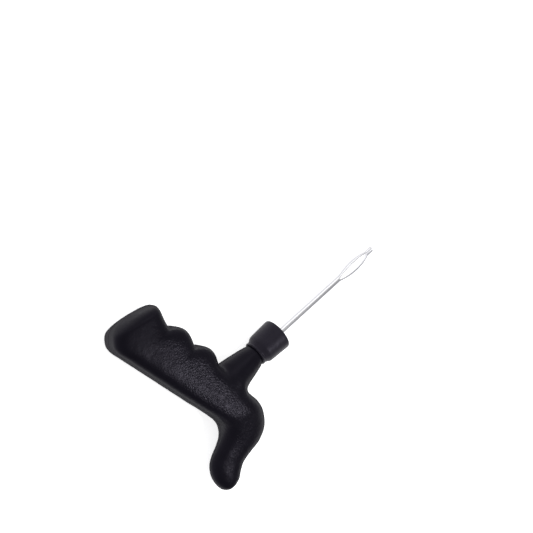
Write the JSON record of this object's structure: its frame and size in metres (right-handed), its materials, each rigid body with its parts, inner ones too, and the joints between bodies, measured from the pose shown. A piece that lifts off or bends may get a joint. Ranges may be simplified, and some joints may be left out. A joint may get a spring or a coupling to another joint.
{
  "type": "tyre plug insertion tool",
  "caption": "Hand tool for pushing tyre plugs: a hooked pistol-grip handle with finger grooves, a flared collar and a round steel needle that ends in a split, springing eye.",
  "frame": {"origin": "on the plane the tool lies on, directly below the point where the needle's axis crosses the grip", "axes": "the tool lies on its side: +X along the needle to its tip, +Y up the grip to its butt on the finger-groove end, +Z away from the surface it rests on"},
  "size_m": [0.1734, 0.1233, 0.023],
  "materials": {
    "handle_plastic": "fine leather-like grain, satin black",
    "collar_rubber": "satin black",
    "needle_steel": "bright plated"
  },
  "bodies": {
    "handle": {"handle_shell_top": "handle_plastic", "handle_shell_bottom": "handle_plastic", "collar": "collar_rubber", "needle_shank": "needle_steel", "anchor_pin": "needle_steel"},
    "tine_left": {"tine_left": "needle_steel"},
    "tine_right": {"tine_right": "needle_steel"}
  },
  "joints": [
    {"name": "tine_left_flex", "type": "hinge", "parent": "handle", "child": "tine_left", "pos_m": [0.1063, 0.0013, 0.0115], "axis": [0, 0, 1], "range_deg": [-0.6, 2.5], "stiffness_Nm_per_rad": 0.15},
    {"name": "tine_right_flex", "type": "hinge", "parent": "handle", "child": "tine_right", "pos_m": [0.1063, -0.0013, 0.0115], "axis": [0, 0, -1], "range_deg": [-0.6, 2.5], "stiffness_Nm_per_rad": 0.15}
  ]
}
